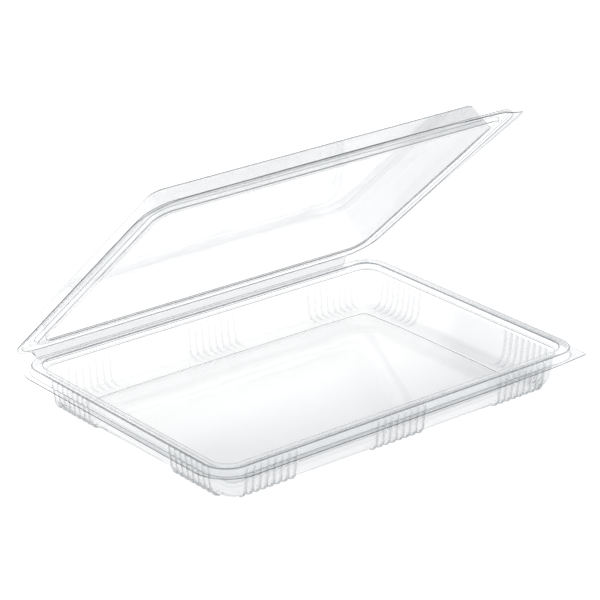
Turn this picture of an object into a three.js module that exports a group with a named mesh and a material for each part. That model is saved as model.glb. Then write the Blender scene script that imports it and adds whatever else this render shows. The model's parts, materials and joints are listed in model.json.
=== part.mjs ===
// Clear pastry container: a shallow fluted tray and its hinged lid, thermoformed from thin plastic
// sheet, with the lid standing open.
//
// Millimetres, +Z up, +X along the long side, +Y towards the hinge.  The origin is on the table, in
// the middle of the container's bounding box.
//
// Both halves are described by the middle of the sheet.  A profile is a list of rows running from the
// flange's edge inwards; each row is a rounded rectangle that lies `out` millimetres outside the
// tray's mouth and `up` millimetres above the crown of the tray's rim bead.  The lid is described
// closed, in the same terms, and turned about the hinge.

import * as THREE from "three";

// ---------------------------------------------------------------- driving dimensions

const SHEET = 0.5; // thickness of the plastic
const TRAY_HEIGHT = 26.5; // table to the crown of the rim bead
const MOUTH = { halfX: 129.45, halfY: 90.4 }; // inner edge of the bead's crown
const FLANGE_REACH = 10.25; // flange edge, out from the mouth

const HINGE = { out: 13.4, up: -6.1, halfLength: 119 }; // the line that the lid turns about
const LID_OPEN_DEGREES = 43.3; // how far the lid stands open

// The front right corner of both flanges is left square, as a tab to lift the lid by.  Its front edge
// turns inwards at `from`, along the front, and slopes by `taper`.
const TRAY_TAB = { radius: 1.5, from: 107.5, taper: 0.084 };
const LID_TAB = { radius: 3, from: 118, taper: 0.31 };

const RIM = {
  flangeDrop: 5.3, // flange, below the crown
  footOut: 6.75, // outer foot of the bead
  shoulderOut: 6.3, // upper end of the bead's outer face
  bevel: 0.75, // bevel along both edges of the crown
  ledgeOuter: { out: -0.4, up: -3.6 },
  ledgeInner: { out: -2.0, up: -3.8 },
  lipEnd: { out: 12.5, up: -5.5 }, // rear flange, drawn out towards the hinge
};

const WALL = {
  top: { out: -2.1, up: -5.6 },
  draft: 0.112, // inward lean for each millimetre down
  fillets: [6.5, 9.4], // radius into the base, along the long sides and along the short ones
  filletSteps: 3,
  ringInner: -16.65, // inner edge of the flat ring that the tray stands on
  panelRise: 1.65, // floor panel, above the ring
  panelRun: 2.2, // width of the step up to it
};

// Outward ribs of the side walls.  Their crests keep to the wall further down than the wall between
// them does, and turn into the base with fillets of their own.
const FLUTE = { pitch: 5, count: 8, depth: 1.2, fadeIn: 1.4, fillets: [5, 7] };
const LONG_SIDE_GROUPS = [-95, 0, 95]; // middles of the groups of flutes
const SHORT_SIDE_GROUPS = [-57, 57];

const LID = {
  flangeUp: -1.1,
  edgeBand: 0.6, // narrow band along the flange's edge
  webOut: 12.2, // rear flange, before it turns down to the hinge
  channelFootOut: 7.5, // channel that snaps over the tray's bead
  channelOuterOut: 7.05,
  channelInnerOut: -0.8,
  channelUp: 0.55,
  seatOuterOut: -1.6, // flat seat inside the channel
  seatInnerOut: -6,
  seatUp: -2,
  shoulderOut: -9.1, // upper end of the dome's steep wall
  shoulderUp: 13.3,
  bendOut: -9.5, // middle of the bend into the top
  bendUp: 14.05,
  topOut: -10.2, // edge of the dome's flat top
  topUp: 14.3,
  bow: 0.6, // how far the free front edge curls away from the tray
  droop: 1.9, // how far the flange by the tab hangs towards the tray
  droopFrom: 60, // where along the front it begins to
};

// Corner radii, in the order front right, rear right, rear left, front left.
const TRAY_FLANGE_CORNERS = [TRAY_TAB.radius, 18.5, 18.5, 23];
const LID_FLANGE_CORNERS = [LID_TAB.radius, 19, 19, 24];

// Corner radii of the rows that are alike at all four corners.
const TRAY_CORNER = {
  beadFoot: 17, beadOuter: 16.2, crownOuter: 15.4, crownInner: 12, beadInner: 11.2,
  ledgeOuter: 10.8, ledgeInner: 9.7, wall: 9.6, fillet: 9.7, ring: 9.8, panel: 10,
};
const LID_CORNER = {
  channelFoot: 18, channelOuter: 17, channelInner: 11.4, seatOuter: 10.8, seatInner: 10,
  shoulder: 7.5, top: 7,
};

const CORNER_STEPS = 6;
const STATION_GAP = 0.8; // least distance between stations that a row's corner arc crowds together

// ---------------------------------------------------------------- stations round the outline

// Sides in the order front, right, rear, left; a corner follows each side, counter-clockwise.
const FRONT = 0;
const REAR = 2;
const SIDES = [
  { normal: [0, -1], along: [1, 0] },
  { normal: [1, 0], along: [0, 1] },
  { normal: [0, 1], along: [-1, 0] },
  { normal: [-1, 0], along: [0, -1] },
].map((side, i) => ({ ...side, half: i % 2 === 0 ? MOUTH.halfY : MOUTH.halfX }));

// Stations of the lid's straight sides: how many steps, and how far from the middle they reach.
const LID_SIDE = { frontSteps: 10, steps: 4, longReach: 100, shortReach: 60 };

/** One place on a straight side: `at` millimetres from its middle, on a flute's crest or not. */
function sideStation(side, at, coarse, crest = 0) {
  return { side, at, coarse, crest };
}

/** The stations of one rounded corner, `turn` running from one side's direction to the next. */
function cornerStations(corner) {
  return Array.from({ length: CORNER_STEPS + 1 }, (_, i) => ({
    corner, turn: (Math.PI / 2) * (i / CORNER_STEPS), coarse: true, crest: 0,
  }));
}

/** The stations of one tray side: the roots and crests of its groups of flutes. */
function flutedSide(side) {
  const groups = side % 2 === 0 ? LONG_SIDE_GROUPS : SHORT_SIDE_GROUPS;
  const halves = 2 * FLUTE.count;
  const stations = [];
  for (const middle of groups) {
    for (let j = 0; j <= halves; j++) {
      const at = middle + (j - FLUTE.count) * (FLUTE.pitch / 2);
      const coarse = j === 0 || j === halves || (side === FRONT && at === TRAY_TAB.from);
      stations.push(sideStation(side, at, coarse, j % 2));
    }
  }
  return withHingeEnds(side, stations);
}

/** The stations of one lid side, close enough on the front to follow its bow. */
function plainSide(side) {
  const steps = side === FRONT ? LID_SIDE.frontSteps : LID_SIDE.steps;
  const reach = side % 2 === 0 ? LID_SIDE.longReach : LID_SIDE.shortReach;
  const stations = [];
  for (let j = 0; j <= steps; j++) {
    stations.push(sideStation(side, reach * ((2 * j) / steps - 1), true));
  }
  if (side === FRONT) {
    stations.push(sideStation(side, LID_TAB.from, true));
  }
  return withHingeEnds(side, stations);
}

/** Adds the two ends of the hinge to the stations of the rear side. */
function withHingeEnds(side, stations) {
  if (side !== REAR) {
    return stations;
  }
  const ends = [-HINGE.halfLength, HINGE.halfLength].map((at) => sideStation(side, at, true));
  return [ends[0], ...stations, ends[1]];
}

/** The whole outline, numbered in order; `beyond` counts the stations further out on the same side. */
function outline(sideStations) {
  const stations = SIDES.flatMap((_, i) => {
    const side = sideStations(i);
    const ranked = side.map((station) => {
      const further = side.filter(({ at }) => at * station.at > 0 && Math.abs(at) > Math.abs(station.at));
      return { ...station, beyond: further.length };
    });
    return [...ranked, ...cornerStations(i)];
  });
  return stations.map((station, key) => ({ ...station, key }));
}

/** How far a row runs straight from its side's middle, towards the end that `at` lies on. */
function straightHalf(side, at, out, corners) {
  const corner = at > 0 ? side : (side + SIDES.length - 1) % SIDES.length;
  const across = SIDES[(side + 1) % SIDES.length].half;
  return across + out - corners[corner];
}

/** The horizontal direction that faces outwards at a station. */
function outward(station) {
  if (station.side !== undefined) {
    return SIDES[station.side].normal;
  }
  const from = SIDES[station.corner].normal;
  const to = SIDES[(station.corner + 1) % SIDES.length].normal;
  const c = Math.cos(station.turn);
  const s = Math.sin(station.turn);
  return [from[0] * c + to[0] * s, from[1] * c + to[1] * s];
}

/** The point of a rounded rectangle at a station. */
function ringPoint(station, out, up, corners) {
  const face = outward(station);
  if (station.side !== undefined) {
    const { normal, along, half } = SIDES[station.side];
    const room = straightHalf(station.side, station.at, out, corners) - STATION_GAP * (station.beyond + 1);
    const at = Math.sign(station.at) * Math.min(Math.abs(station.at), room);
    const x = normal[0] * (half + out) + along[0] * at;
    const y = normal[1] * (half + out) + along[1] * at;
    return new THREE.Vector3(x, y, up);
  }
  const from = SIDES[station.corner];
  const to = SIDES[(station.corner + 1) % SIDES.length];
  const radius = corners[station.corner];
  const middle = [0, 1].map((i) => (
    from.normal[i] * (from.half + out - radius) + to.normal[i] * (to.half + out - radius)
  ));
  return new THREE.Vector3(middle[0] + face[0] * radius, middle[1] + face[1] * radius, up);
}

/** How far a tab's front edge runs back from the flange's straight front at a point. */
function tabSetBack(point, tab) {
  return tab && point.y < 0 ? tab.taper * Math.max(0, point.x - tab.from) : 0;
}

const clamp01 = (value) => Math.min(1, Math.max(0, value));

/** How far the lid's free flange is lifted at a point: bowed up along the front, drooping at the tab. */
function freeLift(point) {
  if (point.y > 0) {
    return 0;
  }
  const bow = LID.bow * Math.cos((Math.PI / 2) * clamp01(Math.abs(point.x) / MOUTH.halfX));
  const alongFront = clamp01((point.x - LID.droopFrom) / (MOUTH.halfX - LID.droopFrom));
  return bow - LID.droop * alongFront * clamp01(-point.y / MOUTH.halfY);
}

// ---------------------------------------------------------------- profiles

const all = (radius) => [radius, radius, radius, radius];
const onRear = (station) => station.side === REAR;

/**
 * One row of a profile.  `fine` rows use every station, the others only the coarse ones; `tab` is the
 * tab that the row ends in, `rear` replaces its place along the hinge, and `free` is its share of the
 * free flange's lift.
 */
function row(out, up, corners, options = {}) {
  return { out, up, corners, fine: false, free: 0, ...options };
}

/** How a station's wall meets the base: the fillet's radius, and how far a flute's crest stands out. */
function wallFoot(station) {
  if (station.side === undefined) {
    const share = station.turn / (Math.PI / 2);
    const from = WALL.fillets[station.corner % 2];
    const to = WALL.fillets[(station.corner + 1) % 2];
    return { radius: from + (to - from) * share, proud: 0 };
  }
  const kind = station.side % 2;
  return station.crest
    ? { radius: FLUTE.fillets[kind], proud: FLUTE.depth }
    : { radius: WALL.fillets[kind], proud: 0 };
}

/** The tray at a station, from the flange's edge to the border of the floor panel. */
function trayRows(station) {
  const crown = -SHEET / 2;
  const ringUp = SHEET / 2 - TRAY_HEIGHT;
  const { radius, proud } = wallFoot(station);
  const wallOut = (up) => WALL.top.out + WALL.draft * (up - WALL.top.up) + proud;
  const lean = Math.atan(WALL.draft);
  const centreUp = ringUp + radius;
  const centreOut = wallOut(centreUp - radius * Math.sin(lean)) - radius * Math.cos(lean);
  const fluteTop = WALL.top.up - FLUTE.fadeIn;
  const fillet = Array.from({ length: WALL.filletSteps + 1 }, (_, i) => {
    const angle = lean + (Math.PI / 2 - lean) * (i / WALL.filletSteps);
    const out = centreOut + radius * Math.cos(angle);
    return row(out, centreUp - radius * Math.sin(angle), all(TRAY_CORNER.fillet), { fine: true });
  });
  return [
    row(FLANGE_REACH, -RIM.flangeDrop, TRAY_FLANGE_CORNERS, { tab: TRAY_TAB, rear: RIM.lipEnd }),
    row(RIM.footOut, -RIM.flangeDrop, all(TRAY_CORNER.beadFoot)),
    row(RIM.shoulderOut, crown - RIM.bevel, all(TRAY_CORNER.beadOuter)),
    row(RIM.shoulderOut - RIM.bevel, crown, all(TRAY_CORNER.crownOuter)),
    row(RIM.bevel, crown, all(TRAY_CORNER.crownInner)),
    row(0, crown - RIM.bevel, all(TRAY_CORNER.beadInner)),
    row(RIM.ledgeOuter.out, RIM.ledgeOuter.up, all(TRAY_CORNER.ledgeOuter)),
    row(RIM.ledgeInner.out, RIM.ledgeInner.up, all(TRAY_CORNER.ledgeInner)),
    row(WALL.top.out, WALL.top.up, all(TRAY_CORNER.wall), { fine: true }),
    row(wallOut(fluteTop), fluteTop, all(TRAY_CORNER.wall), { fine: true }),
    ...fillet,
    row(WALL.ringInner, ringUp, all(TRAY_CORNER.ring)),
    row(WALL.ringInner - WALL.panelRun, ringUp + WALL.panelRise, all(TRAY_CORNER.panel)),
  ];
}

/** The closed lid, from the flange's edge to the border of the dome's flat top. */
function lidRows() {
  const bandOut = FLANGE_REACH - LID.edgeBand;
  const bandShare = (bandOut - LID.channelFootOut) / (FLANGE_REACH - LID.channelFootOut);
  const edge = { tab: LID_TAB, free: 1, rear: { out: HINGE.out, up: HINGE.up } };
  const band = { tab: LID_TAB, free: bandShare, rear: { out: LID.webOut, up: LID.flangeUp } };
  return [
    row(FLANGE_REACH, LID.flangeUp, LID_FLANGE_CORNERS, edge),
    row(bandOut, LID.flangeUp, LID_FLANGE_CORNERS, band),
    row(LID.channelFootOut, LID.flangeUp, all(LID_CORNER.channelFoot)),
    row(LID.channelOuterOut, LID.channelUp, all(LID_CORNER.channelOuter)),
    row(LID.channelInnerOut, LID.channelUp, all(LID_CORNER.channelInner)),
    row(LID.seatOuterOut, LID.seatUp, all(LID_CORNER.seatOuter)),
    row(LID.seatInnerOut, LID.seatUp, all(LID_CORNER.seatInner)),
    row(LID.shoulderOut, LID.shoulderUp, all(LID_CORNER.shoulder)),
    row(LID.bendOut, LID.bendUp, all(LID_CORNER.top)),
    row(LID.topOut, LID.topUp, all(LID_CORNER.top)),
  ];
}

/** Where a profile's rows pass a station, as `out` and `up`. */
function profileAt(station, rows) {
  return rows.map((r) => {
    const { out, up } = r.rear && onRear(station) ? r.rear : r;
    const lift = r.free ? r.free * freeLift(ringPoint(station, out, up, r.corners)) : 0;
    return { out, up: up + lift };
  });
}

/** Mitred normals of a profile, pointing to the upper side of the sheet, as `out` and `up`. */
function profileNormals(points) {
  const inner = points[points.length - 1];
  const closed = [...points, { out: inner.out - 10, up: inner.up }];
  const segments = points.map((p, i) => {
    const step = new THREE.Vector2(closed[i + 1].out - p.out, closed[i + 1].up - p.up).normalize();
    return new THREE.Vector2(step.y, -step.x);
  });
  return points.map((_, i) => {
    const next = segments[i];
    const previous = segments[Math.max(0, i - 1)];
    const mitre = previous.clone().add(next).normalize();
    return mitre.divideScalar(mitre.dot(next));
  });
}

// ---------------------------------------------------------------- closed sheet

/** Joins two neighbouring loops, whose stations may differ, with a strip of triangles. */
function stitch(faces, outer, inner, count) {
  const keyAt = (loop, i) => loop[i % loop.length].key + (i >= loop.length ? count : 0);
  const indexAt = (loop, i) => loop[i % loop.length].index;
  let i = 0;
  let j = 0;
  while (i < outer.length || j < inner.length) {
    const outerFirst = keyAt(outer, i + 1) <= keyAt(inner, j + 1);
    if (j >= inner.length || (i < outer.length && outerFirst)) {
      faces.push([indexAt(outer, i), indexAt(outer, i + 1), indexAt(inner, j)]);
      i += 1;
    } else {
      faces.push([indexAt(inner, j + 1), indexAt(inner, j), indexAt(outer, i)]);
      j += 1;
    }
  }
}

/** Builds the closed solid of a formed sheet from its profile at each of the outline's stations. */
function formedSheet(rowsAt, stations) {
  const points = [];
  const faces = [];
  const count = rowsAt(stations[0]).length;
  const loops = { upper: [], lower: [] };
  for (let i = 0; i < count; i++) {
    loops.upper.push([]);
    loops.lower.push([]);
  }
  for (const station of stations) {
    const rows = rowsAt(station);
    const profile = profileAt(station, rows);
    const normals = profileNormals(profile);
    const face = outward(station);
    rows.forEach((r, i) => {
      if (!r.fine && !station.coarse) {
        return;
      }
      const middle = ringPoint(station, profile[i].out, profile[i].up, r.corners);
      const normal = new THREE.Vector3(face[0] * normals[i].x, face[1] * normals[i].x, normals[i].y);
      middle.y += tabSetBack(middle, r.tab);
      for (const [name, side] of [["upper", 1], ["lower", -1]]) {
        loops[name][i].push({ key: station.key, index: points.length });
        points.push(middle.clone().addScaledVector(normal, (side * SHEET) / 2));
      }
    });
  }
  for (const [name, side] of [["upper", 1], ["lower", -1]]) {
    const skin = [];
    loops[name].slice(1).forEach((loop, i) => stitch(skin, loops[name][i], loop, stations.length));
    const border = loops[name][count - 1];
    const centre = points.length;
    points.push(new THREE.Vector3(0, 0, points[border[0].index].z));
    border.forEach(({ index }, k) => {
      skin.push([index, border[(k + 1) % border.length].index, centre]);
    });
    faces.push(...(side > 0 ? skin : skin.map(([a, b, c]) => [a, c, b])));
  }
  const edge = [];
  stitch(edge, loops.lower[0], loops.upper[0], stations.length);
  faces.push(...edge);
  const geometry = new THREE.BufferGeometry();
  geometry.setAttribute("position", new THREE.Float32BufferAttribute(points.flatMap((p) => p.toArray()), 3));
  geometry.setIndex(faces.flat());
  geometry.computeVertexNormals();
  return geometry;
}

/** The clear plastic of one half. */
function clearPlastic() {
  return new THREE.MeshStandardMaterial({
    color: 0xf2f5f6, roughness: 0.08, metalness: 0, transparent: true, opacity: 0.35,
  });
}

// ---------------------------------------------------------------- the container

const tray = new THREE.Mesh(formedSheet(trayRows, outline(flutedSide)), clearPlastic());
tray.name = "tray";

const hingeY = MOUTH.halfY + HINGE.out;
const lid = new THREE.Mesh(formedSheet(lidRows, outline(plainSide)), clearPlastic());
lid.name = "lid";
lid.position.set(0, -hingeY, -HINGE.up);

const openLid = new THREE.Group();
openLid.position.set(0, hingeY, HINGE.up);
openLid.rotation.x = -THREE.MathUtils.degToRad(LID_OPEN_DEGREES);
openLid.add(lid);

const container = new THREE.Group();
container.add(tray, openLid);
const bounds = new THREE.Box3().setFromObject(container, true);
container.position.set(0, -(bounds.min.y + bounds.max.y) / 2, TRAY_HEIGHT);

export default container;
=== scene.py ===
"""Looks of a clear, hinged pastry container: a fluted tray and its domed lid, standing open.

The frame gives the size and the place of both halves.  Here each half becomes a thin formed sheet
with rounded folds, made as whole-array surfaces, and both get a clear plastic finish with painted
shade: grey lines along folds and cut edges, and grey fills on the flats.
"""

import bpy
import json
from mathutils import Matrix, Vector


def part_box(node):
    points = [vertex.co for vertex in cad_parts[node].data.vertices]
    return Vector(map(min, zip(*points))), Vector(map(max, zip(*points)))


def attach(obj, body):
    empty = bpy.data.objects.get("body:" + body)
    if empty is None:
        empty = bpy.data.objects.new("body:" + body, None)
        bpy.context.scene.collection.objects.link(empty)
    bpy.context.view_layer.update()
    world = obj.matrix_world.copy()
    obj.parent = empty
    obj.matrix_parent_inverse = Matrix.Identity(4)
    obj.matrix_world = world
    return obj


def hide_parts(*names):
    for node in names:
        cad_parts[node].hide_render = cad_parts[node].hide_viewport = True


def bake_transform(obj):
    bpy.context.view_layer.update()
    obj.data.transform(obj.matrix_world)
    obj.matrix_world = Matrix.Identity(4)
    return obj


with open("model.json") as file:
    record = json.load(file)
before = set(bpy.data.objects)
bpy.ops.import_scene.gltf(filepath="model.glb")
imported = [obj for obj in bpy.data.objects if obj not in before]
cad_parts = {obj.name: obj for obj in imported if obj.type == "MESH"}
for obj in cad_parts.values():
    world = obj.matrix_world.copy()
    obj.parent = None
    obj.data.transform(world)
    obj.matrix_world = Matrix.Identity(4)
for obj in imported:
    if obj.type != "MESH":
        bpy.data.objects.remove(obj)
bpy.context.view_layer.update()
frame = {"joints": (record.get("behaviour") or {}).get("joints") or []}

import json
import logging
import math
from dataclasses import dataclass, field
from enum import Enum

import bpy
import numpy as np
from mathutils import Matrix, Vector

LOG = logging.getLogger("container")
MM = 0.001
SHARP_ANGLE = math.radians(50)
EDGE_ROW = 0.35  # distance of the second row from the sheet's cut edge, in millimetres
MOST_EDGE, MOST_SOFT, MOST_SUPPORT = 0.4, 0.4, 0.48  # largest shares of a straight piece
REFERENCE_OUT = -2.1  # the ring that stations are counted on, from the mouth
REFERENCE_RADIUS = 9.7
PLAIN_STEPS = 5  # steps along a stretch without flutes
LAST_KNEE = 0.94  # largest share of a side that keeps the reference ring's distances
Array = np.ndarray


# ---------------------------------------------------------------- shader expressions


class Term:
    """A shader socket that adds Math nodes when it is used in an expression."""

    def __init__(self, graph: "Graph", socket: object) -> None:
        """Wraps a socket.

        Args:
            graph: The node graph that new nodes go into.
            socket: The output socket that holds the value.
        """
        self.graph = graph
        self.socket = socket

    def _math(self, operation: str, first: object, second: object) -> "Term":
        """Adds one Math node and returns its output."""
        inputs = {0: first, 1: second}
        return self.graph.node("ShaderNodeMath", {"operation": operation}, inputs)

    def __add__(self, other: object) -> "Term":
        """This value plus another."""
        return self._math("ADD", self, other)

    def __radd__(self, other: object) -> "Term":
        """Another value plus this one."""
        return self._math("ADD", other, self)

    def __sub__(self, other: object) -> "Term":
        """This value less another."""
        return self._math("SUBTRACT", self, other)

    def __rsub__(self, other: object) -> "Term":
        """Another value less this one."""
        return self._math("SUBTRACT", other, self)

    def __mul__(self, other: object) -> "Term":
        """This value times another."""
        return self._math("MULTIPLY", self, other)

    def __rmul__(self, other: object) -> "Term":
        """Another value times this one."""
        return self._math("MULTIPLY", other, self)


class Graph:
    """A node tree that nodes are added to by one method."""

    def __init__(self, tree: bpy.types.NodeTree) -> None:
        """Empties the tree and takes it over.

        Args:
            tree: The node tree of a material or a world.
        """
        self.tree = tree
        tree.nodes.clear()

    def node(self, kind: str, settings: dict, inputs: dict, output: object = 0) -> Term:
        """Adds a node.

        Args:
            kind: The node's type name.
            settings: Properties, set before the inputs.
            inputs: A value or a Term for each input socket, by name or number.
            output: The name or number of the output wanted.

        Returns:
            The wanted output.
        """
        node = self.tree.nodes.new(kind)
        for name, value in settings.items():
            setattr(node, name, value)
        for name, value in inputs.items():
            if isinstance(value, Term):
                self.tree.links.new(value.socket, node.inputs[name])
            else:
                node.inputs[name].default_value = value
        outputs = node.outputs
        return Term(self, outputs[output]) if len(outputs) else Term(self, None)

    def mix_colours(self, factor: object, first: object, second: object) -> Term:
        """Mixes two colours.

        Args:
            factor: 0 for the first colour, 1 for the second.
            first: A colour or a Term.
            second: A colour or a Term.

        Returns:
            The mixed colour.
        """
        inputs = {0: factor, 6: first, 7: second}
        return self.node("ShaderNodeMix", {"data_type": "RGBA"}, inputs, 2)


# ---------------------------------------------------------------- finishes


@dataclass(frozen=True)
class ClearPlastic:
    """Clear thermoformed sheet with a faint uneven haze and painted shade: grey lines along its folds and
    cut edges, and grey fills on its flats.

    The mesh's `fold` attribute runs from 0 on flat sheet to 1 along a tight fold, and mixes in the grey
    of the painted shade line there; its `haze` attribute says how hazy each stretch of the
    sheet is, with painted shade added on some stretches and sides.  That share is multiplied by a value
    that goes from `haze_low` to `haze_high` along a slope, painted shade that greys
    the sheet towards one side, and by soft streaks.  The slope's own value grows by `shade_ends` times
    x^2 towards both ends, painted shade that greys both ends.
    """

    name: str
    clear_tint: tuple = (0.985, 0.988, 0.99)
    # The second tint is the grey of the flats, part real haze and part painted shade; the third is painted
    # shade, the grey of the lines along folds and cut edges.
    haze_and_shade_tint: tuple = (0.80, 0.81, 0.82)
    fold_shade_tint: tuple = (0.34, 0.36, 0.38)
    haze_low: float = 0.1
    haze_high: float = 1.0
    shade_slope: tuple = (0.0, 0.0, 0.0)
    haze_and_shade_offset: float = 0.5
    shade_ends: float = 0.0
    streaks: float = 0.25
    streak_scale: tuple = (7.0, 26.0, 26.0)
    ior: float = 1.45
    roughness: float = 0.02
    ripple_scale: float = 22.0
    ripple_strength: float = 0.06
    ripple_depth: float = 0.004
    grain_scale: float = 60.0
    grain_roughness: float = 0.03

    def haze(self, graph: Graph, place: Term) -> Term:
        """Works out how hazy the sheet is at each place, with the painted shade that is added to the haze.

        Args:
            graph: The material's node graph.
            place: Object coordinates.

        Returns:
            The share of the haze tint.
        """
        # Painted shade: the value grows along a slope and towards both ends, greying the sheet there.
        slope = graph.node(
            "ShaderNodeVectorMath", {"operation": "DOT_PRODUCT"}, {0: place, 1: self.shade_slope}, "Value"
        )
        x = graph.node("ShaderNodeSeparateXYZ", {}, {"Vector": place}, "X")
        value = slope + self.haze_and_shade_offset + self.shade_ends * x * x
        level = graph.node(
            "ShaderNodeMapRange",
            {"interpolation_type": "SMOOTHSTEP"},
            {"Value": value, "To Min": self.haze_low, "To Max": self.haze_high},
            "Result",
        )
        stretched = graph.node("ShaderNodeMapping", {}, {"Vector": place, "Scale": self.streak_scale})
        streak = graph.node(
            "ShaderNodeTexNoise", {}, {"Vector": stretched, "Scale": 1.0, "Detail": 2.0}, "Fac"
        )
        haze_and_shade_share = graph.node("ShaderNodeAttribute", {"attribute_name": "haze"}, {}, "Fac")
        return haze_and_shade_share * level * (1.0 + self.streaks * 4.0 * (streak - 0.5))

    def build(self) -> bpy.types.Material:
        """Makes the material."""
        material = bpy.data.materials.new(self.name)
        material.use_nodes = True
        graph = Graph(material.node_tree)
        fold = graph.node("ShaderNodeAttribute", {"attribute_name": "fold"}, {}, "Fac")
        place = graph.node("ShaderNodeTexCoord", {}, {}, "Object")
        ripple = graph.node(
            "ShaderNodeTexNoise", {}, {"Vector": place, "Scale": self.ripple_scale, "Detail": 1.5}, "Fac"
        )
        grain = graph.node(
            "ShaderNodeTexNoise", {}, {"Vector": place, "Scale": self.grain_scale, "Detail": 3.0}, "Fac"
        )
        # Haze with painted shade on the flats, then grey painted shade lines along the folds and cut
        # edges.
        flat = graph.mix_colours(self.haze(graph, place), (*self.clear_tint, 1.0), (*self.haze_and_shade_tint, 1.0))
        tint = graph.mix_colours(fold, flat, (*self.fold_shade_tint, 1.0))
        bump = graph.node(
            "ShaderNodeBump",
            {},
            {"Strength": self.ripple_strength, "Distance": self.ripple_depth, "Height": ripple},
            "Normal",
        )
        shader = graph.node(
            "ShaderNodeBsdfPrincipled",
            {},
            {
                "Base Color": tint,
                "Roughness": self.roughness + self.grain_roughness * grain,
                "IOR": self.ior,
                "Transmission Weight": 1.0,
                "Normal": bump,
            },
            "BSDF",
        )
        graph.node("ShaderNodeOutputMaterial", {}, {"Surface": shader})
        return material


@dataclass(frozen=True)
class LightTable:
    """The pale, evenly lit floor that the container stands on."""

    name: str = "pale_floor"
    colour: tuple = (0.9, 0.9, 0.9, 1.0)
    glow: float = 0.8

    def build(self) -> bpy.types.Material:
        """Makes the material."""
        material = bpy.data.materials.new(self.name)
        material.use_nodes = True
        graph = Graph(material.node_tree)
        shader = graph.node(
            "ShaderNodeBsdfPrincipled",
            {},
            {
                "Base Color": self.colour,
                "Roughness": 0.9,
                "Specular IOR Level": 0.0,
                "Emission Color": (1.0, 1.0, 1.0, 1.0),
                "Emission Strength": self.glow,
            },
            "BSDF",
        )
        graph.node("ShaderNodeOutputMaterial", {}, {"Surface": shader})
        return material


# ---------------------------------------------------------------- outline


class Side(Enum):
    """The sides of the container, counter-clockwise seen from above."""

    FRONT = 0
    RIGHT = 1
    REAR = 2
    LEFT = 3


NORMALS = np.array([[0.0, -1.0], [1.0, 0.0], [0.0, 1.0], [-1.0, 0.0]])
ALONGS = np.array([[1.0, 0.0], [0.0, 1.0], [-1.0, 0.0], [0.0, -1.0]])


@dataclass(frozen=True)
class Mouth:
    """The tray's mouth, the ring that every profile is measured from, in millimetres."""

    half_x: float
    half_y: float
    centre_y: float
    crown_z: float
    hinge_y: float
    hinge_z: float

    @property
    def halves(self) -> Array:
        """Half the width across each side's own normal."""
        return np.array([self.half_y, self.half_x, self.half_y, self.half_x])


@dataclass(frozen=True)
class Flutes:
    """Groups of outward flutes along the sides of the tray, in millimetres."""

    pitch: float = 5.0
    count: int = 8
    depth: float = 1.2
    long_groups: tuple = (-95.0, 0.0, 95.0)
    short_groups: tuple = (-57.0, 57.0)
    samples: int = 8

    @property
    def half_width(self) -> float:
        """Half the width of a group."""
        return self.pitch * self.count / 2

    def groups(self, side: int) -> tuple:
        """Middles of the groups of one side."""
        return self.long_groups if side % 2 == 0 else self.short_groups


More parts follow.
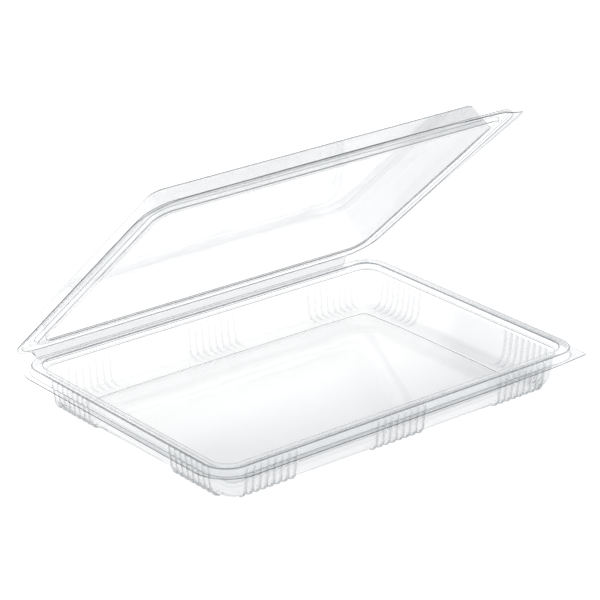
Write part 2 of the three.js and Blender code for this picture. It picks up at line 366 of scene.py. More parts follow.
@dataclass(frozen=True)
class Stations:
    """Places round an outline, as a side and a signed distance from that side's middle.

    `reach` is counted on the reference ring; a ring with other corners keeps it up to its knee and
    shares the rest out as far as the middle of its corner.  `coarse` marks the stations that every
    row uses; the others lie within a group of flutes and are for the wall alone.
    """

    side: Array
    reach: Array
    coarse: Array
    group_end: Array
    corner_middle: Array

    def by_side(self, values: tuple) -> Array:
        """Gives each side its own value, going over smoothly round the corners.

        The value is own + (mean - own) * turn, where `mean` is that of the two sides which meet at a
        corner and `turn` grows from 0 at the outermost flute to 1 in the middle of the corner.

        Args:
            values: The values of the front, the right, the rear and the left.

        Returns:
            The value at each station.
        """
        table = np.array(values, float)
        own = table[self.side]
        other = table[(self.side + np.where(self.reach < 0, 3, 1)) % 4]
        turn = smooth_step((np.abs(self.reach) - self.group_end) / (self.corner_middle - self.group_end))
        return own + (other - own) / 2 * turn

    def by_zone(self, zones: list) -> Array:
        """Gives the rows of each zone their own values round the sides, and the others 1.

        Args:
            zones: Pairs of the rows that lie in the zone and the values of its four sides.

        Returns:
            The value at each row and station.
        """
        table = np.ones((len(zones[0][0]), len(self.reach)))
        for rows, values in zones:
            table[rows] = self.by_side(values)
        return table

    def rear_window(self, half: float, fade: float) -> Array:
        """1 along the rear as far as `half` less `fade` from its middle, fading to 0 at `half`."""
        on_rear = self.side == Side.REAR.value
        return on_rear * (1 - smooth_step((np.abs(self.reach) - half + fade) / fade))

    @property
    def shortness(self) -> Array:
        """0 along the long sides and 1 along the short ones."""
        return self.by_side((0.0, 1.0, 0.0, 1.0))

    @staticmethod
    def around(mouth: Mouth, flutes: Flutes, fine: bool, corner_steps: int = 18) -> "Stations":
        """Lays out the stations of all four sides.

        Args:
            mouth: The tray's mouth.
            flutes: The flutes whose groups get fine steps.
            fine: Whether the groups of flutes get fine steps.
            corner_steps: Steps from the end of the outermost group to the middle of a corner.

        Returns:
            The stations, counter-clockwise from the front left corner.
        """
        step = flutes.pitch / flutes.samples
        sides, reaches, coarses, ends, middles = [], [], [], [], []
        for side in range(4):
            across = mouth.halves[(side + 1) % 4]
            middle = across + REFERENCE_OUT - REFERENCE_RADIUS * (1 - math.pi / 4)
            groups = flutes.groups(side)
            end = groups[-1] + flutes.half_width
            marks = [-middle, *sorted(g + s * flutes.half_width for g in groups for s in (-1, 1)), middle]
            for i, (low, high) in enumerate(zip(marks[:-1], marks[1:])):
                steps = corner_steps if i in (0, len(marks) - 2) else PLAIN_STEPS
                coarse = np.ones(steps, bool)
                if fine and i % 2 == 1:
                    steps = round((high - low) / step)
                    coarse = np.arange(steps) == 0
                sides.append(np.full(steps, side))
                reaches.append(np.linspace(low, high, steps, endpoint=False))
                coarses.append(coarse)
                ends.append(np.full(steps, end))
                middles.append(np.full(steps, middle))
        parts = (np.concatenate(a) for a in (sides, reaches, coarses, ends, middles))
        return Stations(*parts)

    def place(self, mouth: Mouth, out: Array, corners: Array) -> tuple:
        """Places every station on every ring.

        A ring is a rounded rectangle: straight up to `across + out - radius` from a side's middle,
        then an arc about the corner's centre, on which distance along the ring becomes an angle.

        Args:
            mouth: The tray's mouth.
            out: How far each row lies outside the mouth at each station, rows x stations.
            corners: Corner radii of each row, rows x 4.

        Returns:
            Positions (rows x stations x 2) and outward directions of the same shape.
        """
        sign = np.where(self.reach < 0, -1.0, 1.0)
        corner = np.where(self.reach < 0, (self.side + 3) % 4, self.side)
        half = mouth.halves[self.side]
        across = mouth.halves[(self.side + 1) % 4]
        radius = corners[:, corner]
        straight = across + out - radius
        end = straight + radius * math.pi / 4
        knee = np.minimum(self.group_end, LAST_KNEE * end)
        reach = np.abs(self.reach)
        share = (reach - knee) / (self.corner_middle - knee)
        along = np.where(reach <= knee, reach, knee + share * (end - knee))
        angle = np.maximum(0.0, along - straight) / radius
        level = np.minimum(along, straight)
        normal = NORMALS[self.side]
        tangent = ALONGS[self.side] * sign[:, None]
        facing = normal * np.cos(angle)[..., None] + tangent * np.sin(angle)[..., None]
        centre = normal * (half + out - radius)[..., None] + tangent * level[..., None]
        return centre + facing * radius[..., None], facing

    def ring(self, mouth: Mouth, out: float, radius: float) -> Array:
        """Places every station on one ring, stations x 2."""
        return self.place(mouth, np.full((1, len(self.reach)), out), np.full((1, 4), radius))[0][0]


# ---------------------------------------------------------------- profiles


@dataclass(frozen=True)
class Fold:
    """A corner of a profile: where it lies, how softly it bends and how dark its painted shade line is.

    `haze` is the haze, with painted shade, of the flat stretch from here to the next corner.
    """

    out: float
    up: float
    corners: float | tuple
    soft: float = 0.45
    line_shade: float = 1.0
    haze: float = 0.2


@dataclass
class Profile:
    """Rows of a formed sheet from its cut edge inwards, one entry a row.

    `line_shade` is the darkness of the shade line painted along each fold, `flute` and `heel` are
    shares of that painted shade which the crests and the heel of the wall get at each side, and `fine`
    marks the wall's rows.
    """

    out: Array
    up: Array
    corners: Array
    line_shade: Array
    haze: Array
    flute: Array
    heel: Array
    fine: Array

    @staticmethod
    def bent(folds: list, steps: int = 4, support: float = 0.3) -> "Profile":
        """Bends a chain of straight pieces softly at its folds.

        Each fold F is a quadratic curve (1-t)^2 A + 2t(1-t) F + t^2 B between the points A and B
        that lie `soft` millimetres before and after it, with a row of support beyond each.

        Args:
            folds: The chain's corners; the first and the last stay as they are.
            steps: Steps across each fold.
            support: Distance of the support rows from the curve.

        Returns:
            The rows.
        """
        points = np.array([[f.out, f.up, *np.broadcast_to(f.corners, 4)] for f in folds])
        first = points[1] - points[0]
        rows = [points[0], points[0] + first * min(MOST_EDGE, EDGE_ROW / np.hypot(*first[:2]))]
        line_shades, haze_and_shade_values = [folds[0].line_shade, 0.0], [folds[0].haze] * 2
        t = np.linspace(0.0, 1.0, steps + 1)[:, None]
        for before, here, after, last, fold in zip(points, points[1:], points[2:], folds, folds[1:]):
            lengths = [np.hypot(*(p[:2] - here[:2])) for p in (before, after)]
            ends = []
            for other, length in zip((before, after), lengths):
                for distance, most in ((fold.soft + support, MOST_SUPPORT), (fold.soft, MOST_SOFT)):
                    ends.append(here + (other - here) * min(most, distance / length))
            outer, start, inner, stop = ends
            curve = (1 - t) ** 2 * start + 2 * t * (1 - t) * here + t**2 * stop
            rows += [outer, *curve, inner]
            # The painted shade line is darkest in the middle of each fold.
            line_shades += [0.0, *(fold.line_shade * np.sin(np.pi * t[:, 0])), 0.0]
            haze_and_shade_values += [last.haze, *(last.haze + (fold.haze - last.haze) * t[:, 0]), fold.haze]
        rows.append(points[-1])
        line_shades.append(folds[-1].line_shade)
        haze_and_shade_values.append(folds[-2].haze)
        table, none = np.array(rows), np.zeros(len(rows))
        values = (table[:, 0], table[:, 1], table[:, 2:], np.array(line_shades), np.array(haze_and_shade_values))
        return Profile(*values, none, none, np.zeros(len(rows), bool))


def joined(parts: list) -> Profile:
    """Joins profiles end to end."""
    names = ("out", "up", "corners", "line_shade", "haze", "flute", "heel", "fine")
    return Profile(*(np.concatenate([getattr(p, name) for p in parts]) for name in names))


def smooth_step(x: Array) -> Array:
    """3x^2 - 2x^3 between 0 and 1."""
    x = np.clip(x, 0.0, 1.0)
    return x * x * (3 - 2 * x)


def mixed(first: Array, second: Array, share: Array) -> Array:
    """(1 - share) first + share second, for rows or rows x stations."""
    first, second = (a[:, None] if a.ndim == 1 else a for a in (first, second))
    return first * (1 - share) + second * share


# ---------------------------------------------------------------- meshes


def linked(name: str, data: bpy.types.ID) -> bpy.types.Object:
    """Makes an object of some data and links it to the scene."""
    made = bpy.data.objects.new(name, data)
    bpy.context.scene.collection.objects.link(made)
    return made


def add_piece(name: str, points: Array, faces: list, finish: dict) -> bpy.types.Object:
    """Makes a smooth piece, with sharp edges where it bends steeply.

    Args:
        name: The object's name.
        points: Vertices x 3, in millimetres.
        faces: Vertex numbers of each face.
        finish: Attributes of the finish by name, one value a vertex.

    Returns:
        The object, in metres.
    """
    mesh = bpy.data.meshes.new(name)
    mesh.from_pydata((points * MM).tolist(), [], faces)
    mesh.polygons.foreach_set("use_smooth", np.ones(len(mesh.polygons), bool))
    mesh.set_sharp_from_angle(angle=SHARP_ANGLE)
    for label, values in finish.items():
        attribute = mesh.attributes.new(label, "FLOAT", "POINT")
        attribute.data.foreach_set("value", values.astype(np.float32))
    mesh.validate()
    mesh.update()
    return linked(name, mesh)


def surface_normals(points: Array) -> Array:
    """Unit normals of a grid that closes round its second axis.

    The normal is the cross product of the central differences along the two axes.

    Args:
        points: Rows x stations x 3.

    Returns:
        Normals of the same shape.
    """
    inwards = np.gradient(points, axis=0)
    along = np.roll(points, -1, axis=1) - np.roll(points, 1, axis=1)
    normals = np.cross(along, inwards)
    return normals / np.linalg.norm(normals, axis=2, keepdims=True)


def strip_faces(outer: Array, inner: Array) -> list:
    """Faces between two loops whose vertices are given at every station, or -1 where unused.

    Args:
        outer: Vertex numbers of the outer loop.
        inner: Vertex numbers of the inner loop.

    Returns:
        Four-cornered faces where both loops use each station, else many-cornered ones.
    """
    if (outer >= 0).all() and (inner >= 0).all():
        return np.stack([outer, np.roll(outer, -1), np.roll(inner, -1), inner], 1).tolist()
    both = np.flatnonzero((outer >= 0) & (inner >= 0))
    faces = []
    for start, stop in zip(both, np.append(both[1:], both[0] + len(outer))):
        span = np.arange(start, stop + 1) % len(outer)
        first = [v for v in outer[span] if v >= 0]
        second = [v for v in inner[span] if v >= 0]
        faces.append([int(v) for v in first + second[::-1]])
    return faces


def sheet_mesh(
    name: str, points: Array, finish: dict, used: Array, thickness: float
) -> bpy.types.Object:
    """Makes a closed sheet of even thickness from its middle surface.

    Args:
        name: The object's name.
        points: Rows x stations x 3, from the cut edge inwards; the last row is capped.
        finish: Attributes of the finish by name, each rows x stations.
        used: Rows x stations, the places that get a vertex.
        thickness: Thickness of the sheet.

    Returns:
        The object, in metres.
    """
    normals = surface_normals(points)
    numbers = np.full(used.shape, -1)
    numbers[used] = np.arange(used.sum())
    total = int(used.sum())
    upper = (points + normals * thickness / 2)[used]
    lower = (points - normals * thickness / 2)[used]
    faces = []
    for outer, inner in zip(numbers[:-1], numbers[1:]):
        strip = strip_faces(outer, inner)
        faces += strip
        faces += [[v + total for v in face[::-1]] for face in strip]
    cap = [int(v) for v in numbers[-1] if v >= 0]
    faces += [cap, [v + total for v in cap[::-1]]]
    edge = numbers[0][numbers[0] >= 0]
    faces += np.stack([edge + total, np.roll(edge, -1) + total, np.roll(edge, -1), edge], 1).tolist()
    values = {label: np.tile(grid[used], 2) for label, grid in finish.items()}
    return add_piece(name, np.concatenate([upper, lower]), faces, values)


# ---------------------------------------------------------------- the container


class Station(Enum):
    """The kinds of section through the tray."""

    PLAIN_LONG = 0
    PLAIN_SHORT = 1
    CREST_LONG = 2
    CREST_SHORT = 3


@dataclass
class Tray:
    """The fluted tray with its beaded rim, in millimetres.

    The painted shade of the lines and the haze with painted shade are given for the front, the right,
    the rear and the left, darker on some sides than on others.  A zone says how far out and how far up
    the rows lie that one of them applies to.
    """

    mouth: Mouth
    flutes: Flutes = field(default_factory=Flutes)
    sheet: float = 0.45
    flange_corners: tuple = (1.5, 18.5, 18.5, 23.0)
    flange_out: float = 10.25
    flange_up: float = -5.3
    foot: float = 6.65
    foot_corner: float = 17.0
    shoulder: float = 0.45
    crown_up: float = -0.25
    lip: tuple = (12.5, -5.5)
    lip_half: float = 119.0
    lip_fade: float = 3.0
    tab_start: float = 107.5
    tab_taper: float = 0.084
    ledge_up: float = -3.7
    wall_top: tuple = (-2.1, -5.6)
    wall_shares: tuple = (0.0, 0.04, 0.08, 0.12, 0.3, 0.5, 0.75)
    wall_corner: float = 9.7
    draft: float = 0.112
    fade_in: float = 1.6
    ring_up: float = -26.25
    ring_rows: tuple = (-13.6, -14.6)
    ring_inner: float = -16.65
    panel_rise: float = 1.65
    fillets: tuple = (6.5, 9.4, 5.0, 7.0)
    fillet_steps: int = 14
    heel_angle: float = 58.0
    heel_width: float = 14.0
    flute_start: float = -6.2
    flute_shares: tuple = (0.75, 0.4, 0.0)
    crest_from: float = 0.65
    crown_zone: tuple = (0.3, -1.5)
    foot_zone: tuple = (5.65, -4.0)
    floor_zone: float = -15.65
    crown_width: float = 0.6
    # Painted shade: darkness of the grey lines painted along the cut edge, the crown, the foot, the heel,
    # the flutes' crests and the floor's border, side by side.  The heel's line stands in for the shade on
    # the floor that the fillet would reflect.
    edge_shades: tuple = (1.0, 0.3, 0.5, 1.0)
    crown_shades: tuple = (0.0, 0.5, 0.2, 0.0)
    foot_shades: tuple = (1.0, 0.5, 0.7, 1.0)
    heel_shades: tuple = (0.9, 0.15, 0.12, 0.9)
    flute_shades: tuple = (0.5, 0.35, 0.35, 0.5)
    floor_shades: tuple = (0.4, 1.0, 1.0, 0.35)
    # Haze with painted shade: greyer fills on the crown and the wall, greyest on the right.
    crown_haze_and_shade: tuple = (1.0, 3.2, 1.6, 1.0)
    wall_haze_and_shade: tuple = (0.3, 2.6, 1.0, 0.35)

    def rim(self, rear: bool) -> Profile:
        """The flange, the bead and the ledge inside it."""
        edge = self.lip if rear else (self.flange_out, self.flange_up)
        # The rear lip's stretch gets a much greyer fill of painted shade than the front flange's.
        return Profile.bent([
            Fold(*edge, self.flange_corners, haze=6.0 if rear else 1.6),
            Fold(self.foot, self.flange_up, self.foot_corner, 0.5),
            Fold(self.foot - self.shoulder, self.crown_up, 16.0, 0.8),
            Fold(0.1, self.crown_up, 11.3, 0.8),
            Fold(-0.4, self.ledge_up, 10.8, 0.5, 0.7),
            Fold(-2.0, self.ledge_up - 0.1, 9.7, 0.5, 0.7),
            Fold(*self.wall_top, 9.6, line_shade=0.0),
        ])

    def wall(self, kind: Station) -> Profile:
        """The wall and the fillet at its foot: a leaning line, and an arc that it runs into squarely.

        A crest lies the flutes' depth outside the plain wall, and comes out of it below the top.

        Args:
            kind: The kind of section.

        Returns:
            The rows.
        """
        radius = self.fillets[kind.value]
        proud = self.flutes.depth if kind in (Station.CREST_LONG, Station.CREST_SHORT) else 0.0
        lean = math.atan(self.draft)
        middle_up = self.ring_up + radius
        foot_up = middle_up - radius * math.sin(lean)
        up = self.wall_top[1] + np.array(self.wall_shares) * (foot_up - self.wall_top[1])
        grown = proud * smooth_step((self.wall_top[1] - up) / self.fade_in)
        out = self.wall_top[0] + self.draft * (up - self.wall_top[1]) + grown
        foot_out = self.wall_top[0] + self.draft * (foot_up - self.wall_top[1]) + proud
        angles = np.linspace(lean, math.pi / 2, self.fillet_steps + 1)
        arc_out = foot_out - radius * (math.cos(lean) - np.cos(angles))
        arc_up = middle_up - radius * np.sin(angles)
        rows = len(up) + len(angles) + len(self.ring_rows)
        on_arc = slice(len(up), len(up) + len(angles))
        heel, flute, none = np.zeros(rows), np.ones(rows), np.zeros(rows)
        # Painted shade: a grey line round the heel, standing in for the shade on the floor under the tray
        # that the fillet would reflect, and the crests' grey lines, which fade in below the top.
        heel[on_arc] = np.exp(-(((np.degrees(angles) - self.heel_angle) / self.heel_width) ** 2))
        flute[: len(up)] = smooth_step((self.flute_start - up) / self.fade_in)
        flute[-len(self.flute_shares):] = self.flute_shares
        out = np.concatenate([out, arc_out, self.ring_rows])
        up = np.concatenate([up, arc_up, np.full(len(self.ring_rows), self.ring_up)])
        corners = np.full((rows, 4), self.wall_corner)
        return Profile(out, up, corners, none, none, flute, heel, np.ones(rows, bool))

    def floor(self) -> Profile:
        """The ring that the tray stands on and the border of its raised panel."""
        panel_up = self.ring_up + self.panel_rise
        # Painted shade: grey lines along the ring's and the panel's folds, and a greyer panel.
        return Profile.bent([
            Fold(self.ring_inner + 1.6, self.ring_up, 9.8, line_shade=0.0),
            Fold(self.ring_inner, self.ring_up, 9.8, 0.8, 0.6),
            Fold(self.ring_inner - 2.2, panel_up, 10.0, 1.0, 0.9, haze=1.3),
            Fold(self.ring_inner - 4.6, panel_up, 10.0, line_shade=0.0),
        ])

    def section(self, kind: Station, rear: bool = False) -> Profile:
        """A whole section, from the flange's edge to the floor."""
        return joined([self.rim(rear), self.wall(kind), self.floor()])

    def build(self) -> bpy.types.Object:
        """Makes the tray's mesh."""
        stations = Stations.around(self.mouth, self.flutes, fine=True)
        body = self.section(Station.PLAIN_LONG)
        depth = self.scallop(stations)
        window = stations.rear_window(self.lip_half, self.lip_fade)
        places = []
        for name in ("out", "up"):
            long, short, long_crest, short_crest = (getattr(self.section(k), name) for k in Station)
            plain = mixed(long, short, stations.shortness)
            crest = mixed(long_crest, short_crest, stations.shortness)
            rear = getattr(self.section(Station.PLAIN_LONG, True), name) - getattr(body, name)
            places.append(mixed(plain, crest, depth) + rear[:, None] * window)
        out, up = places
        plan, _ = stations.place(self.mouth, out, body.corners)
        foot_plan = stations.ring(self.mouth, self.foot, self.foot_corner)
        plan = taper_tab(plan, body.out, self.foot, foot_plan, self.tab_start, self.tab_taper)
        points = np.concatenate([plan, up[..., None]], 2)
        points[..., 1] += self.mouth.centre_y
        points[..., 2] += self.mouth.crown_z
        used = body.fine[:, None] | stations.coarse[None, :]
        return sheet_mesh("tray_shell", points, self.finish(stations, body), used, self.sheet)

    def finish(self, stations: Stations, body: Profile) -> dict:
        """Works out how dark the painted shade lines are and how hazy and shaded the sheet is at each
        place.

        The crown's outer fold gets a painted shade line of exp(-(distance / width)^2).

        Args:
            stations: The stations.
            body: The rows.

        Returns:
            The attributes `fold` and `haze`, each rows x stations.
        """
        on_crown = (body.out > self.crown_zone[0]) & (body.up > self.crown_zone[1])
        on_foot = (body.out > self.foot_zone[0]) & (body.up < self.foot_zone[1])
        on_floor = body.out < self.floor_zone
        distance = body.out - (self.foot - self.shoulder)
        crown_shade_line = on_crown * np.exp(-((distance / self.crown_width) ** 2))
        by_zone = stations.by_zone([(on_floor, self.floor_shades), (on_foot, self.foot_shades)])
        fold = np.maximum.reduce([
            body.line_shade[:, None] * by_zone,
            crown_shade_line[:, None] * stations.by_side(self.crown_shades),
            self.wall_shade_lines(stations, body),
        ])
        # Painted shade along the cut edge, darker on some sides.
        fold[0] = stations.by_side(self.edge_shades)
        # Haze with painted shade, greyer on the crown and on the wall of some sides.
        haze = body.haze[:, None] * stations.by_zone([(on_crown, self.crown_haze_and_shade)])
        haze[body.fine] = stations.by_side(self.wall_haze_and_shade)
        return {"fold": fold, "haze": haze}

    def scallop(self, stations: Stations) -> Array:
        """Share of the flutes' depth at each station: (1 - cos(2 pi x / pitch)) / 2 within a group."""
        depth = np.zeros(len(stations.reach))
        for side in range(4):
            for middle in self.flutes.groups(side):
                x = stations.reach - middle + self.flutes.half_width
                inside = (stations.side == side) & (x >= -1e-6) & (x <= 2 * self.flutes.half_width + 1e-6)
                wave = (1 - np.cos(2 * np.pi * x / self.flutes.pitch)) / 2
                depth = np.where(inside, wave, depth)
        return depth

    def wall_shade_lines(self, stations: Stations, body: Profile) -> Array:
        """Darkness of the shade lines painted on the flutes' crests and on the heel below the wall, rows x
        stations.
        """
        crest = smooth_step((self.scallop(stations) - self.crest_from) / (1 - self.crest_from))
        flutes = np.array(self.flute_shades)[stations.side] * crest
        heel = np.array(self.heel_shades)[stations.side]
        return np.maximum(body.flute[:, None] * flutes, body.heel[:, None] * heel)


def taper_tab(plan: Array, out: Array, foot: float, foot_plan: Array, start: float, taper: float) -> Array:
    """Runs the tab's front edge back: y grows by `taper` for each millimetre past `start`.

    The rows between the bead's foot F and the flange's moved edge E lie at F + u (E - F), with u
    growing from 0 at the foot to 1 at the edge.

    Args:
        plan: Rows x stations x 2.
        out: How far out each row lies.
        foot: How far out the bead's foot lies.
        foot_plan: The foot's ring, stations x 2.
        start: Where along X the taper begins.
        taper: Slope of the edge.

    Returns:
        The moved plan.
    """
    edge = plan[0].copy()
    edge[:, 1] += np.where(edge[:, 1] < 0, taper * np.maximum(0.0, edge[:, 0] - start), 0.0)
    u = np.clip((out - foot) / (out[0] - foot), 0.0, 1.0)[:, None, None]
    flange = (u > 0) & (plan[..., 1:] < 0)
    return np.where(flange, foot_plan + u * (edge - foot_plan), plan)


@dataclass
class Lid:
    """The domed lid, described closed and turned open about the hinge, in millimetres.

    The painted shade of the lines and the haze with painted shade are given for the front, the right, the
    rear and the left.
    """

    mouth: Mouth
    opening: float
    sheet: float = 0.45
    flange_corners: tuple = (3.0, 19.0, 19.0, 24.0)
    flange_out: float = 10.25
    flange_up: float = -1.1
    edge_band: float = 0.6
    foot: float = 7.45
    foot_corner: float = 18.0
    channel_up: float = 0.55
    seat_up: float = -2.0
    seat_inner: float = -6.0
    dome: tuple = (-9.32, 14.3)
    dome_zone: float = 13.0
    wall_zone: float = -9.2
    web_out: float = 12.2
    web_half: float = 119.0
    web_fade: float = 3.0
    hinge: tuple = (13.4, -6.1)
    tab_start: float = 118.0
    tab_taper: float = 0.31
    bow: float = 0.6
    droop: float = 1.9
    droop_start: float = 60.0
    # Painted shade: darkness of the grey lines along the dome's folds, and greyer wall fills, side by
    # side.
    dome_shades: tuple = (1.0, 0.35, 0.2, 0.6)
    wall_haze_and_shade: tuple = (0.35, 1.2, 0.5, 0.4)

    def profile(self, rear: bool, short: bool = False) -> Profile:
        """The flange, the channel, the seat and the dome.

        Args:
            rear: Whether the section crosses the web by the hinge.
            short: Whether it crosses a short side, where the painted shade lines are darker.

        Returns:
            The rows.
        """
        edge = self.hinge if rear else (self.flange_out, self.flange_up)
        band = self.web_out if rear else self.flange_out - self.edge_band
        channel_haze_and_shade = 0.8 if short else 0.3
        # Painted shade: darker lines and a greyer channel on the short sides, and a grey fill on the web
        # by the hinge.
        return Profile.bent([
            Fold(*edge, self.flange_corners, haze=3.0 if rear else 1.5),
            Fold(band, self.flange_up, self.flange_corners, 0.4, 1.0 if short else 0.3, haze=1.5),
            Fold(self.foot, self.flange_up, self.foot_corner, 0.5, 1.0 if short else 0.8, channel_haze_and_shade),
            Fold(self.foot - 0.4, self.channel_up, 17.0, 0.6, 1.0 if short else 0.35, channel_haze_and_shade),
            Fold(-0.8, self.channel_up, 11.4, 0.8 if short else 0.6, 1.0 if short else 0.9, haze=0.3),
            Fold(-1.6, self.seat_up, 10.8, 0.5, 0.6, haze=0.3),
            Fold(self.seat_inner, self.seat_up, 10.0, 0.5, 0.7, haze=0.0),
            Fold(*self.dome, 7.3, 1.1, haze=0.8),
            Fold(-14.5, self.dome[1], 7.0, line_shade=0.0),
        ])

    def build(self) -> bpy.types.Object:
        """Makes the lid's mesh, open."""
        stations = Stations.around(self.mouth, Flutes(), fine=False)
        body, rear, side = self.profile(False), self.profile(True), self.profile(False, True)
        window = stations.rear_window(self.web_half, self.web_fade)
        out = mixed(body.out, rear.out, window)
        up = mixed(body.up, rear.up, window)
        plan, _ = stations.place(self.mouth, out, body.corners)
        foot_plan = stations.ring(self.mouth, self.foot, self.foot_corner)
        plan = taper_tab(plan, body.out, self.foot, foot_plan, self.tab_start, self.tab_taper)
        up = up + self.free_lift(plan, body)
        points = self.opened(np.concatenate([plan, up[..., None]], 2))
        on_wall = (body.out < self.seat_inner) & (body.out > self.wall_zone)
        # Painted shade lines along the dome's folds, and haze with painted shade greying the wall.
        crease = stations.by_zone([(body.up > self.dome_zone, self.dome_shades)])
        haze = mixed(body.haze, rear.haze, window) + on_wall[:, None] * stations.by_side(self.wall_haze_and_shade)
        finish = {"fold": mixed(body.line_shade, side.line_shade, stations.shortness) * crease, "haze": haze}
        return sheet_mesh("lid_shell", points, finish, np.ones(points.shape[:2], bool), self.sheet)

    def free_lift(self, plan: Array, body: Profile) -> Array:
        """Lift of the free flange, growing towards its edge.

        The front bows up by bow * cos(pi x / length), and the tab hangs by an amount that grows
        evenly along the front and from the middle of the side.

        Args:
            plan: Rows x stations x 2.
            body: The profile.

        Returns:
            The lift of each place.
        """
        share = np.clip((body.out - self.foot) / (self.flange_out - self.foot), 0.0, 1.0)[:, None]
        x, y = plan[..., 0], plan[..., 1]
        wave = np.cos(np.pi / 2 * np.clip(x / self.mouth.half_x, -1.0, 1.0))
        along = np.clip((x - self.droop_start) / (self.mouth.half_x - self.droop_start), 0.0, 1.0)
        forward = np.clip(-y / self.mouth.half_y, 0.0, 1.0)
        return np.where(y < 0, share * (self.bow * wave - self.droop * along * forward), 0.0)

    def opened(self, points: Array) -> Array:
        """Turns closed points about the hinge by the opening angle and puts them in place."""
        c, s = math.cos(self.opening), math.sin(self.opening)
        hinge_y = self.mouth.half_y + self.hinge[0]
        back = points[..., 1] - hinge_y
        rise = points[..., 2] - self.hinge[1]
        y = self.mouth.hinge_y + back * c + rise * s
        z = self.mouth.hinge_z - back * s + rise * c
        return np.stack([points[..., 0], y, z], 2)


@dataclass
class HingeStrip:
    """The crease of the sheet between the tray's rear lip and the lid's web, in millimetres."""

    mouth: Mouth
    lid: Lid
    tray: Tray
    sheet: float = 0.4
    overlap: float = 0.35
    steps: int = 8
    lengths: int = 48
    inset: float = 1.0
    fading: float = 30.0
    # Painted shade: a grey line and a grey fill along the crease, fading out towards both ends.
    line_shade: float = 0.2
    haze: float = 0.7

    def path(self) -> Array:
        """The crease's section, a quadratic curve about the hinge line from the lip to the web.

        Returns:
            Steps x 2, along Y and Z in the frame's place.
        """
        hinge = np.array([self.mouth.hinge_y, self.mouth.hinge_z])
        lip = np.array([self.tray.lip[0] - self.lid.hinge[0], self.tray.lip[1] - self.lid.hinge[1]])
        start = hinge + lip + self.overlap * np.array([-1.0, 0.0])
        web = np.array([self.lid.web_out, self.lid.flange_up]) - np.array(self.lid.hinge)
        c, s = math.cos(self.lid.opening), math.sin(self.lid.opening)
        turned = np.array([web[0] * c + web[1] * s, web[1] * c - web[0] * s])
        stop = hinge + turned / np.hypot(*turned) * self.overlap * 2
        t = np.linspace(0.0, 1.0, self.steps + 1)[:, None]
        return (1 - t) ** 2 * start + 2 * t * (1 - t) * hinge + t**2 * stop

    def build(self) -> bpy.types.Object:
        """Makes the strip: the section with its thickness, carried straight along X and capped."""
        middle = self.path()
        tangent = np.gradient(middle, axis=0)
        normal = np.stack([-tangent[:, 1], tangent[:, 0]], 1)
        normal /= np.linalg.norm(normal, axis=1, keepdims=True)
        upper = middle + normal * self.sheet / 2
        lower = middle - normal * self.sheet / 2
        loop = np.concatenate([upper, lower[::-1]])
        half = self.tray.lip_half - self.inset
        along = np.linspace(-half, half, self.lengths + 1)
        points = np.empty((len(along), len(loop), 3))
        points[..., 0] = along[:, None]
        points[..., 1:] = loop[None]
        numbers = np.arange(points.shape[0] * points.shape[1]).reshape(points.shape[:2])
        near, far = numbers[:-1], numbers[1:]
        quads = np.stack([near, far, np.roll(far, -1, 1), np.roll(near, -1, 1)], -1).reshape(-1, 4)
        faces = quads.tolist() + [numbers[0].tolist(), numbers[-1][::-1].tolist()]
        # The painted shade fades out towards both ends.
        fade = 1 - smooth_step((np.abs(points[..., 0]) - half + self.fading) / self.fading)
        finish = {"fold": (self.line_shade * fade).ravel(), "haze": (self.haze * fade).ravel()}
        return add_piece("hinge_strip", points.reshape(-1, 3), faces, finish)

    def ends(self) -> tuple:
        """Where the strip leaves the tray and where it reaches the lid, in metres."""
        path = self.path()
        return tuple((0.0, float(y) * MM, float(z) * MM) for y, z in (path[0], path[-1]))


# ---------------------------------------------------------------- studio


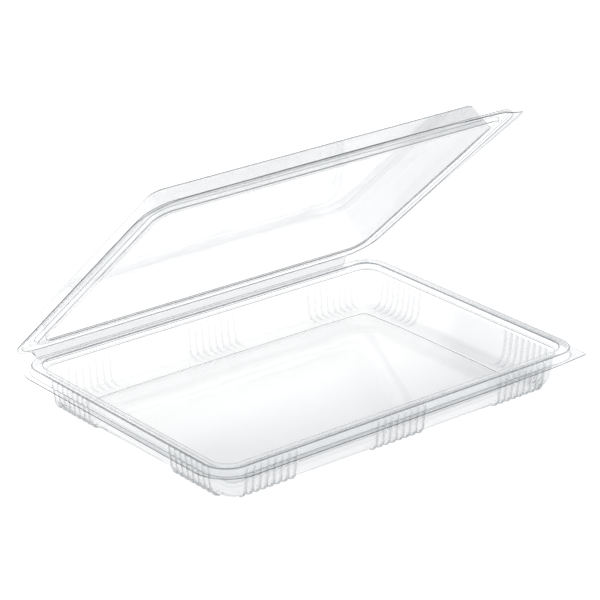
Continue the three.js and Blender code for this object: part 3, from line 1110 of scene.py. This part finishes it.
@dataclass
class Studio:
    """A glowing pale floor, a soft surround that is darker overhead, and the camera."""

    azimuth: float = -39.3
    elevation: float = 22.43
    distance: float = 1.6215
    lens: float = 164.04
    sensor: float = 36.0
    aim: tuple = (0.0067, 0.0077, 0.0562)
    far_clip: float = 50.0
    floor_half: float = 6.0
    floor_up: float = -0.0002
    horizon_light: float = 1.0
    zenith_light: float = 0.3
    horizon_top: float = 0.35
    zenith_from: float = 0.8
    bounces: int = 24
    glossy_bounces: int = 8

    def camera(self) -> bpy.types.Object:
        """Places the camera on a sphere about its aim."""
        data = bpy.data.cameras.new("camera")
        data.lens = self.lens
        data.sensor_width = self.sensor
        data.clip_end = self.far_clip
        camera = linked("camera", data)
        a, e = math.radians(self.azimuth), math.radians(self.elevation)
        back = Vector((math.sin(a) * math.cos(e), -math.cos(a) * math.cos(e), math.sin(e)))
        right = Vector((math.cos(a), math.sin(a), 0.0))
        above = back.cross(right)
        turn = Matrix((right, above, back)).transposed().to_4x4()
        camera.matrix_world = Matrix.Translation(Vector(self.aim) + back * self.distance) @ turn
        bpy.context.scene.camera = camera
        return camera

    def floor(self) -> bpy.types.Object:
        """Lays the floor just under the container."""
        half = self.floor_half
        mesh = bpy.data.meshes.new("floor")
        turns = ((-half, -half), (half, -half), (half, half), (-half, half))
        mesh.from_pydata([(x, y, self.floor_up) for x, y in turns], [], [(0, 1, 2, 3)])
        mesh.materials.append(LightTable().build())
        floor = linked("floor", mesh)
        return floor

    def surround(self) -> None:
        """Makes the world: white near the horizon, grey overhead."""
        world = bpy.data.worlds.new("surround")
        bpy.context.scene.world = world
        world.use_nodes = True
        graph = Graph(world.node_tree)
        direction = graph.node("ShaderNodeTexCoord", {}, {}, "Generated")
        height = graph.node("ShaderNodeSeparateXYZ", {}, {"Vector": direction}, "Z")
        share = graph.node(
            "ShaderNodeMapRange",
            {"interpolation_type": "SMOOTHSTEP"},
            {"Value": height, "From Min": self.horizon_top, "From Max": self.zenith_from},
            "Result",
        )
        strength = self.horizon_light + (self.zenith_light - self.horizon_light) * share
        light = graph.node("ShaderNodeBackground", {}, {"Color": (1, 1, 1, 1), "Strength": strength})
        graph.node("ShaderNodeOutputWorld", {}, {"Surface": light})

    def exposure(self) -> None:
        """Plain colours, and enough bounces for light to cross many sheets."""
        scene = bpy.context.scene
        scene.view_settings.view_transform = "Standard"
        scene.view_settings.look = "None"
        scene.cycles.max_bounces = self.bounces
        scene.cycles.transmission_bounces = self.bounces
        scene.cycles.transparent_max_bounces = self.bounces
        scene.cycles.glossy_bounces = self.glossy_bounces

    def build(self) -> None:
        """Sets up the whole studio."""
        self.camera()
        self.floor()
        self.surround()
        self.exposure()


# ---------------------------------------------------------------- assembly


def read_mouth() -> Mouth:
    """Works out the mouth's size and place from the frame.

    Returns:
        The mouth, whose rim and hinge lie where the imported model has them.
    """
    low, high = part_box("tray")
    joint = frame["joints"][0]
    hinge_y, hinge_z = joint["pos_m"][1] / MM, joint["pos_m"][2] / MM
    flange_out, hinge_out = Lid.flange_out, Lid.hinge[0]
    half_x = high.x / MM - flange_out
    half_y = (hinge_y - low.y / MM - flange_out - hinge_out) / 2
    centre_y = low.y / MM + flange_out + half_y
    return Mouth(half_x, half_y, centre_y, high.z / MM, hinge_y, hinge_z)


def main() -> None:
    """Builds the studio and the container, and reports each piece."""
    logging.basicConfig(level=logging.INFO, format="%(name)s: %(message)s")
    Studio().build()
    mouth = read_mouth()
    opening = -math.radians(frame["joints"][0]["range_deg"][0])
    # Painted shade: the slopes grey the tray towards its front and both ends, and the lid towards its
    # right, its top and both ends.
    tray_finish = ClearPlastic(
        "tray_sheet", shade_slope=(-0.5, -9.0, 0.0), haze_and_shade_offset=0.15, shade_ends=15.0, streaks=0.1,
    )
    lid_finish = ClearPlastic(
        "lid_sheet", haze_and_shade_tint=(0.72, 0.73, 0.74), shade_slope=(3.5, 0.0, 4.5), haze_and_shade_offset=-0.35,
        shade_ends=12.0, haze_low=0.4, streaks=0.1, roughness=0.05,
    )
    clear_tray, clear_lid = tray_finish.build(), lid_finish.build()
    tray, lid = Tray(mouth), Lid(mouth, opening)
    strip = HingeStrip(mouth, lid, tray)
    builds = [
        (tray.build(), "tray", "tray_sheet", clear_tray),
        (lid.build(), "lid", "lid_sheet", clear_lid),
        (strip.build(), None, "lid_sheet", clear_lid),
    ]
    for piece, body, slot, finish in builds:
        piece.data.materials.append(finish)
        if body:
            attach(piece, body)
            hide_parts(body)
        else:
            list(strip.ends())
            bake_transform(piece)
        LOG.info("%s: %d faces, rides on %s", piece.name, len(piece.data.polygons), body or "both halves")


if __name__ == "__main__":
    main()
